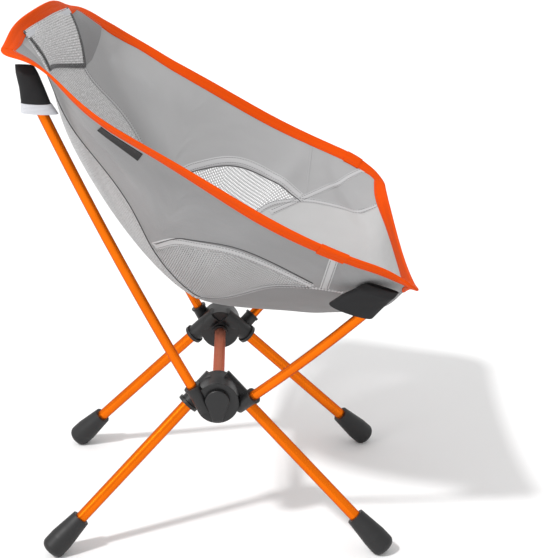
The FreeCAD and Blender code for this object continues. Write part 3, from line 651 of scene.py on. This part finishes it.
def add_stitches(name, points, across, out, offset, height, thread, slot, pitch, radius=0.38 * MM):
    """A row of stitches beside a line, as short capsules that lie on the cloth; returns its name."""
    along = lengths_along(points[:, None], 0)[:, 0]
    starts = np.arange(STITCH_SKIP, along[-1] - STITCH_SKIP, pitch)
    ring = round_profile(1.0, 6)
    vertices, faces, uvs = [], [], []
    for start in starts:
        base = len(vertices)
        for share_along, swell in STITCH_SHAPE:
            at = start + share_along * pitch * STITCH_SHARE
            centre, side_way, up = (np.array([np.interp(at, along, field[:, k]) for k in range(3)])
                                    for field in (points, across, out))
            centre = centre + side_way * offset + up * height
            for x, y in ring:
                vertices.append(centre + side_way * x * radius * swell + up * y * radius * swell)
                uvs.append((at, x * radius))
        faces += tube_faces(len(STITCH_SHAPE), len(ring), base)
    turn_outward(add_piece(name, vertices, faces, thread, uvs))
    return name


# ---- cloth, mesh and seams of the seat
JOINS = {"right": (0.775, 0.838), "left": (0.90, 0.94)}  # where each side's binding overlaps itself
CLOTH_EDGE = 0.985  # how far the panels run into the folded binding
PANEL_TOP, PANEL_FOOT, SEAM_FOOT = 0.004, 0.992, 0.982  # stations where panels start and end, and seams end
TAPE_BASE, TAPE_TOP, TAPE_ROWS = 0.55 * MM, 1.05 * MM, (0.32, -0.32)  # faces, and rows as shares of width
SEWN = {}  # each sheet of cloth and the names of its trimmings, by the sheet's name


def seam_tape(name, line, width, layer):
    """A flat tape sewn over a seam with two rows of stitches; layer is 1 outside the bucket, -1 inside."""
    base, top = layer * TAPE_BASE, layer * TAPE_TOP
    profile = flat_profile(width / 2, min(base, top), max(base, top))
    made = [strip(name, *line, profile, "tape_grey", "tape_grey").name]
    for number, share in enumerate(TAPE_ROWS):
        made.append(add_stitches("%s_stitch_%d" % (name, number), *line, share * width,
                                 top + layer * 0.1 * MM, "thread_grey", "tape_grey", pitch=4.0 * MM,
                                 radius=0.5 * MM))
    return made


def piping(name, line, height, radius):
    """A thin dark cord sewn along a seam, lifted off the cloth by a height."""
    points, across, out = line
    return strip(name, points + out * height, across, out, round_profile(radius), "piping_dark",
                 "tape_grey")


def moon_line(side, shift):
    """The half moon's outer edge, moved outward by a share of the half width."""
    return seam_line(lambda v: moon_edge(v) + shift, MOON_START, MOON_END, side)


def side_cloth(side_name, side):
    """One side of the seat: its panel, the half moon of mesh, their seams and their trimmings."""
    cloth = panel("side_cloth_" + side_name, side_inner_edge, lambda v: np.full_like(v, CLOTH_EDGE),
                  PANEL_TOP, PANEL_FOOT, 26, 150, "seat_fabric", "seat_outside_painted_shade", side=side)
    moon = panel("half_moon_" + side_name, piping_line, side_inner_edge, MOON_START, MOON_END, 24, 90,
                 "mesh_fabric", "mesh_outside_painted_shade", 0.9 * MM, side=side)
    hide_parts("side_panel_" + side_name)
    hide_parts("half_moon_mesh_" + side_name)
    made = seam_tape("moon_tape_" + side_name, moon_line(side, 0.022), 12 * MM, 1)
    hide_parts("half_moon_tape_" + side_name)
    made += seam_tape("moon_tape_inside_" + side_name, moon_line(side, 0.026), 12 * MM, -1)
    for layer, label_name, shift in ((1, "outer", 0.049), (-1, "inner", 0.002)):
        made.append(piping("moon_piping_%s_%s" % (label_name, side_name), moon_line(side, shift),
                           layer * 1.0 * MM, 0.6 * MM).name)
    cord = piping("column_piping_" + side_name, seam_line(piping_line, 0.03, MOON_END, side, 240),
                  0.9 * MM, 0.65 * MM)
    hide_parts("piping_" + side_name)
    made.append(cord.name)
    for name, edge, first, last, width, layer in (
            ("seat_seam_", seat_edge, 0.70, SEAM_FOOT, 8, -1),
            ("seat_seam_under_", seat_edge, COLUMN_END + 0.01, SEAM_FOOT, 8, 1),
            ("column_seam_", column_edge, 0.16, COLUMN_END, 7, -1)):
        made += seam_tape(name + side_name, seam_line(edge, first, last, side), width * MM, layer)
    sweep = np.linspace(0, 1, 60)
    front_out = surface_line(side * (0.70 + 0.25 * sweep), 0.812 - 0.002 * sweep)
    tape = seam_tape("front_seam_" + side_name, front_out, 11 * MM, 1)
    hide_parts("front_seam_tape_" + side_name)
    made += tape
    diagonal = surface_line(side * (0.61 + 0.335 * sweep), 0.735 + 0.205 * sweep)
    made += seam_tape("front_seam_inside_" + side_name, diagonal, 9 * MM, -1)
    points, across, out = surface_line(side * (0.72 + 0.23 * sweep), np.full_like(sweep, 0.80))
    made.append(strip("front_join_inside_" + side_name, points - out * 0.6 * MM, across, out,
                      flat_profile(1.6 * MM, -0.35 * MM, 0.35 * MM), "seat_fabric", "seat_fabric").name)
    # painted shadow of the pocket, seen through the cloth
    made.append(pocket_shadow_patch(side_name, side))
    SEWN["side_cloth_" + side_name] = (cloth, made)
    SEWN["half_moon_" + side_name] = (moon, [])


def pocket_shadow_patch(side_name, side):
    """Painted shadow: a dark sheet inside the top corner, with a rounded foot, where the black pocket outside
    shows through the cloth as shade.
    """
    first, last, rows, columns = 0.022, 0.178, 30, 14
    station = np.linspace(first, last, rows)[:, None] * np.ones(columns)
    inner = 0.655 - 1.2 * (station - first)
    outer = 0.955 - 0.40 * np.clip((station - 0.095) / 0.085, 0, 1) ** 1.6
    across = inner + (np.maximum(outer, inner + 0.01) - inner) * np.linspace(0, 1, columns)[None, :]
    if side < 0:
        across = -across[:, ::-1]
    return shell("pocket_shadow_patch_" + side_name, across, station, 0.6 * MM, "pocket_shadow_grey",
                 -0.95 * MM)[0].name


def middle_cloth():
    """The mesh column of the back, the head pocket on it and the seat's own panel."""
    def minus(line):
        return lambda v: -line(v)
    back = panel("back_mesh", minus(column_edge), column_edge, PANEL_TOP, COLUMN_END, 30, 110, "fine_mesh",
                 "fine_outside_painted_shade", 1.2 * MM)
    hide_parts("back_mesh_panel")
    # painted light on the seat panel's top face and painted shade on its underside
    seat = panel("seat_cloth", minus(seat_edge), seat_edge, COLUMN_END, PANEL_FOOT, 40, 80, "seat_light",
                 "seat_under_painted_shade")
    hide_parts("seat_panel")
    head = head_pocket()
    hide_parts("head_mesh_panel")
    SEWN["back_mesh"] = (back, [])
    SEWN["seat_cloth"] = (seat, sewn_across())
    SEWN["head_mesh"] = (head, head_border())


HEAD_TOP = 0.022  # station of the head pocket's top


def head_place(share, drop):
    """Places on the head pocket: share is -1 to 1 across it, and drop is 0 to 1 from its top to its foot."""
    foot = 0.122 + 0.032 * share + 0.020 * share ** 2
    middle, half_width = 0.09 + 0.01 * drop, 0.57 - 0.20 * drop
    return middle + half_width * share, HEAD_TOP + (foot - HEAD_TOP) * drop


def head_pocket():
    """Mesh pocket across the top of the back; it stands a little off the cloth in the middle."""
    rows, columns = 40, 30
    share_down = np.linspace(0, 1, rows)[:, None]
    share_across = np.linspace(-1, 1, columns)[None, :]
    across, station = head_place(share_across, share_down)
    belly = np.sin(np.pi * share_down) ** 0.7 * (1 - share_across ** 2) * 5.0 * MM
    return shell("head_mesh", across, station, 0.9 * MM, "fine_mesh", -1.7 * MM - belly)


def head_border():
    """Dark edge round the sides and foot of the head pocket, partly its doubled mesh and partly painted shade
    of the gap under its edge, and the white tape along its top.
    """
    spread = 1.9  # the foot takes one part in this of the border, and the sides the rest
    turn = np.linspace(-1, 1, 140)
    drop = np.clip((1 - np.abs(turn)) / (1 - 1 / spread), 0, 1)
    points, sideways, out = surface_line(*head_place(np.clip(turn * spread, -1, 1) * 0.985, drop))
    border = strip("head_border", points - out * 2.6 * MM, sideways, out,
                   flat_profile(3.2 * MM, -0.5 * MM, 0.5 * MM), "edge_mesh_and_shade", "mesh_fabric")
    made = [border.name]
    for number, offset in enumerate((-2.4 * MM, 2.4 * MM)):
        made.append(add_stitches("head_stitch_%d" % number, points, sideways, out, offset, -3.2 * MM,
                                 "thread_grey", "mesh_fabric", pitch=3.2 * MM, radius=0.33 * MM))
    span = np.linspace(-0.47, 0.65, 60)
    points, sideways, out = surface_line(span, np.full_like(span, 0.033))
    return made + [strip("head_top_tape", points - out * 3.0 * MM, sideways, out,
                         flat_profile(3.6 * MM, -0.4 * MM, 0.4 * MM), "hem_white", "hem_white").name]


def sewn_across():
    """The seam where the mesh column meets the seat panel."""
    span = np.linspace(-0.29, 0.29, 80)
    line = surface_line(span, np.full_like(span, COLUMN_END))
    return seam_tape("column_foot_seam", line, 11 * MM, -1) + seam_tape("column_foot_under", line, 9 * MM, 1)


# ---- folded binding round the edge
BINDING_HALF = ((-1.2, 0.0), (-0.8, 1.0), (0.4, 1.6), (2.6, 1.75), (6.2, 1.55), (6.8, 1.35), (7.4, 1.55),
                (11.0, 1.5), (12.2, 1.15), (12.8, 1.4), (14.2, 1.35), (14.5, 0.9))  # (inward, out) in mm
BINDING_STRETCH, JOIN_STRETCH = 1.15, 1.25  # how much wider the tape is than that section
JOIN_SWELL, END_SWELL = 1.1, 0.4  # how much thicker the joins, and the top and front, are, in mm
STITCH_ROW = 14.0 * MM  # from the edge to the binding's stitches
EDGE_RINGS = 260  # rings of the binding along a side


def binding_section(swell):
    """The folded tape's section, from its outer fold to its inner edge and back."""
    grown = [(a, h + (swell if h else 0)) for a, h in BINDING_HALF]
    section = np.array(grown + [(a, -h) for a, h in reversed(grown[1:])])
    return section * (JOIN_STRETCH if swell == JOIN_SWELL else BINDING_STRETCH, 1.0) * MM


def edge_corner(side, end, first, last, count=14):
    """Places along a round corner at the top (end 1) or the front (end -1), between two quarter turns."""
    angle = np.linspace(first, last, count) * math.pi / 2
    across = side * ((1 - CORNER_ACROSS) + CORNER_ACROSS * np.cos(angle))
    inset = CORNER_ALONG * (1 - np.sin(angle))
    return across, inset if end > 0 else 1 - inset


def side_path(side):
    """Places along one side edge with both of its round corners."""
    top_across, top_station = edge_corner(side, 1, 1.0, 0.0)
    foot_across, foot_station = edge_corner(side, -1, 0.0, 1.0)
    station = np.linspace(CORNER_ALONG, 1 - CORNER_ALONG, EDGE_RINGS)[1:-1]
    beyond = side * np.array([1 - CORNER_ACROSS - 0.03])
    across = np.concatenate([beyond, top_across, np.full_like(station, side), foot_across, beyond])
    return across, np.concatenate([[0.0], top_station, station, foot_station, [1.0]])


def binding(name, across, station, node, swell=0.0):
    """A folded tape that wraps the seat's edge, with a row of stitches on each face."""
    step = 1e-3
    along_u = (plain_point(across + step, station) - plain_point(across - step, station)) / (2 * step)
    low, high = np.clip(station - step, 0, 1), np.clip(station + step, 0, 1)
    along_v = (plain_point(across, high) - plain_point(across, low)) / (high - low)[:, None]
    edge, out = seat_point(across, station), outward(across, station)
    inward = unit(np.cross(out, tangents(edge)))
    middle = plain_point(np.zeros_like(station), np.full_like(station, 0.5))
    inward *= np.sign(np.sum(inward * (middle - edge), axis=1).mean())
    basis = np.stack([along_u, along_v], axis=-1)  # direction: the change of place for a metre inward
    direction = np.stack([np.linalg.lstsq(basis[i], inward[i], rcond=None)[0] for i in range(len(edge))])
    section = binding_section(swell)
    rings = np.zeros((len(edge), len(section), 3))
    for j, (a, h) in enumerate(section):
        held = max(a, 0.0)
        u, v = across + direction[:, 0] * held, np.clip(station + direction[:, 1] * held, 0, 1)
        rings[:, j] = seat_point(u, v) + inward * (a - held) + outward(u, v) * h
    piece = add_piece(name, rings.reshape(-1, 3), tube_faces(len(edge), len(section)), "binding_orange",
                      ring_uvs(section, edge))
    turn_outward(piece, crease=55)
    if node:
        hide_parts(node)
    made = [name]
    u = across + direction[:, 0] * STITCH_ROW
    v = np.clip(station + direction[:, 1] * STITCH_ROW, 0, 1)
    line, up = seat_point(u, v), outward(u, v)
    for face_name, layer in (("outer", 1), ("inner", -1)):
        made.append(add_stitches("%s_stitch_%s" % (name, face_name), line, inward, up, 0.0,
                                 layer * (1.25 + swell) * MM, "thread_orange", "binding_orange",
                                 pitch=4.0 * MM))
    return made


def bindings():
    """The binding of all four edges, sewn to the sheets that it closes."""
    for side_name, side in SIDES:
        sewn = SEWN["side_cloth_" + side_name][1]
        sewn += binding("edge_binding_" + side_name, *side_path(side), "binding_" + side_name)
        join = np.linspace(*JOINS[side_name], 24)
        sewn += binding("binding_join_" + side_name, np.full_like(join, side), join, None, JOIN_SWELL)
    reach = 1 - CORNER_ACROSS + 0.004
    span = np.linspace(-reach, reach, 140)
    for sheet_name, end_name, station in (("back_mesh", "top", 0.0), ("seat_cloth", "front", 1.0)):
        SEWN[sheet_name][1].extend(binding("edge_binding_" + end_name, span, np.full_like(span, station),
                                           "binding_" + end_name, END_SWELL))


# ---- corner pockets on the pole tips
# Each upper pole: its socket's mouth and its tip in mm, and the X and Y of the direction in which it leaves.
POLES = {"rear": ((148, 33, 229.5), (163, 225, 636), (0.034, 0.467)),
         "front": ((148, -47.5, 216), (231, -203, 380), (0.35, -0.679))}
# Each sleeve's sections, in mm: (back from the tip, half width, half depth, shift to the front, shift outward).
REAR_SLEEVE = ((38, 15.8, 9.2, -1.2, 0), (20, 13.5, 9.2, 2.4, 0), (2, 12, 8.8, 4.8, 0), (-8, 10, 4, 6, -1))
HEM_SLEEVE = ((51, 20, 9.6, -2.5, 0), (44.5, 18.2, 9.4, -1.8, 0), (38.4, 16.6, 9.2, -1.2, 0))
FRONT_SLEEVE = ((46, 25, 9.5, -14, 0), (26, 23, 9.8, -14, 1), (10, 20.5, 9.2, -12.5, 2), (0, 20, 8.6, -12, 3),
                (-9, 18, 3.5, -11, 3))
REAR_SHEAR, FRONT_SHEAR = 0.48, -0.5  # how far the front edge lies back, as a share of the width


def pole_line(side, end_name):
    """The arc of an upper pole, as functions of the distance from its socket, and its length."""
    (mx, my, mz), (tx, ty, tz), (lx, ly) = POLES[end_name]
    if side > 0 and end_name == "rear":
        ty, tz = ty - LEFT_TIP_SHIFT, tz - LEFT_TIP_DROP
    start, tip = Vector((side * mx, my, mz)) * MM, Vector((side * tx, ty, tz)) * MM
    leave = Vector((side * lx, ly, math.sqrt(1 - lx * lx - ly * ly)))
    chord = tip - start
    half_angle = leave.angle(chord)
    radius = chord.length / (2 * math.sin(half_angle))
    inward = (chord - leave * chord.dot(leave)).normalized()
    centre, axis = start + inward * radius, leave.cross(inward)

    def point(distance):
        return centre + Matrix.Rotation(distance / radius, 3, axis) @ (start - centre)

    def tangent(distance):
        return Matrix.Rotation(distance / radius, 3, axis) @ leave
    return point, tangent, 2 * half_angle * radius


def sleeve(name, side, end_name, sections, shear, finish, closed=True):
    """A hollow, shallowly creased cloth sleeve round an upper pole, closed over its tip or open there."""
    thickness, columns, count = 0.9, 40, 26
    point, tangent, length = pole_line(side, end_name)
    around = np.linspace(0, 2 * math.pi, columns, endpoint=False)
    fine, knots = np.linspace(0, 1, count), np.linspace(0, 1, len(sections))
    values = np.stack([np.interp(fine, knots, column) for column in zip(*sections)], axis=-1)
    cos, sin = np.cos(around), np.sin(around)
    oval_x, oval_y = np.sign(cos) * np.abs(cos) ** 0.75, np.sign(sin) * np.abs(sin) ** 0.85
    vertices = []
    for inset in (0.0, thickness):
        for share, (back, half_width, half_depth, shift, outward_shift) in zip(fine, values):
            distance, away = length - max(back, 0) * MM, Vector((side, 0, 0))
            z_axis = tangent(distance)
            at = point(distance) - z_axis * min(back, 0) * MM
            y_axis = (away - z_axis * away.dot(z_axis)).normalized()
            front = y_axis.cross(z_axis) * side
            crease = 1 + 0.035 * np.sin(5 * around + 7 * share) * np.sin(9 * share + 1)
            x = oval_x * (half_width - inset) + shift
            y = oval_y * (half_depth - inset) * crease
            vertices += [at + (front * a + y_axis * (b + outward_shift) - z_axis * shear * (a - shift)) * MM
                         for a, b in zip(x, y)]
    faces = grid_faces(count, columns, closed=True)
    faces += grid_faces(count, columns, count * columns, closed=True, flip=True)
    last = (count - 1) * columns
    for j in range(columns):
        k = (j + 1) % columns
        faces.append((k, j, count * columns + j, count * columns + k))
        if not closed:
            faces.append((last + j, last + k, last + count * columns + k, last + count * columns + j))
    if closed:
        faces.append(tuple(last + j for j in range(columns)))
        faces.append(tuple(last + count * columns + j for j in range(columns))[::-1])
    uvs = [(0.04 * a / math.pi, 0.05 * t) for t in list(fine) * 2 for a in around]
    piece = add_piece(name, vertices, faces, finish, uvs)
    turn_outward(piece, crease=60)
    return piece


def pockets():
    """The black pockets on the four pole tips, with a white hem on the rear ones."""
    for side_name, side in SIDES:
        rear = sleeve("pocket_rear_vis_" + side_name, side, "rear", REAR_SLEEVE, REAR_SHEAR, "pocket_fabric")
        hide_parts("pocket_rear_" + side_name)
        hem = sleeve("pocket_hem_vis_" + side_name, side, "rear", HEM_SLEEVE, REAR_SHEAR, "hem_white",
                     closed=False)
        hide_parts("pocket_hem_" + side_name)
        front = sleeve("pocket_front_vis_" + side_name, side, "front", FRONT_SLEEVE, FRONT_SHEAR,
                       "pocket_fabric")
        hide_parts("pocket_front_" + side_name)


def label():
    """A plain black patch below the binding of the right side."""
    rows, columns = 14, 26
    station = np.linspace(0.275, 0.372, columns)[None, :] * np.ones((rows, 1))
    across = -np.linspace(0.868, 0.928, rows)[:, None] * np.ones(columns)
    patch = shell("side_patch", across, station, 0.7 * MM, "pocket_fabric", 1.0 * MM)
    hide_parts("side_label")


# ---- shock cords in the legs
def leg_cords():
    """The shock cord in each leg, laid as a fixed cord along the CAD's one; the real cord lengthens as the leg
    is pulled off its socket.
    """
    for side_name, side in SIDES:
        for end_name in ENDS:
            node = "leg_cord_%s_%s" % (end_name, side_name)
            points = np.array([v.co for v in frame["nodes"][node].data.vertices])
            middle = points.mean(0)
            axis = np.linalg.svd(points - middle, full_matrices=False)[2][0]
            axis = axis * np.sign(-axis[2])  # along the CAD's cord, downward
            reach = (points - middle) @ axis
            line = middle + np.linspace(reach.min(), reach.max(), 60)[:, None] * axis
            sideways = unit(np.cross(axis, (0, 0, 1.0)))
            out = unit(np.cross(sideways, axis))
            cord = strip("shock_cord_%s_%s" % (end_name, side_name), line, sideways[None], out[None],
                         round_profile(1.5 * MM, 10), "cord_black", "cord_black", body=None)
            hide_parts(node)
            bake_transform(cord)


# ---- finishes of the CAD's own parts
def finish_nodes():
    """Give every CAD node the material of its slot."""
    for part in frame["record"]["subparts"]:
        mesh = frame["nodes"][part["node"]].data
        mesh.materials.clear()
        mesh.materials.append(MATERIALS[part["material_slot"]])


add_camera()
add_studio()
finish_nodes()
for one_name, one_sign in SIDES:
    side_cloth(one_name, one_sign)
middle_cloth()
bindings()
pockets()
label()
leg_cords()
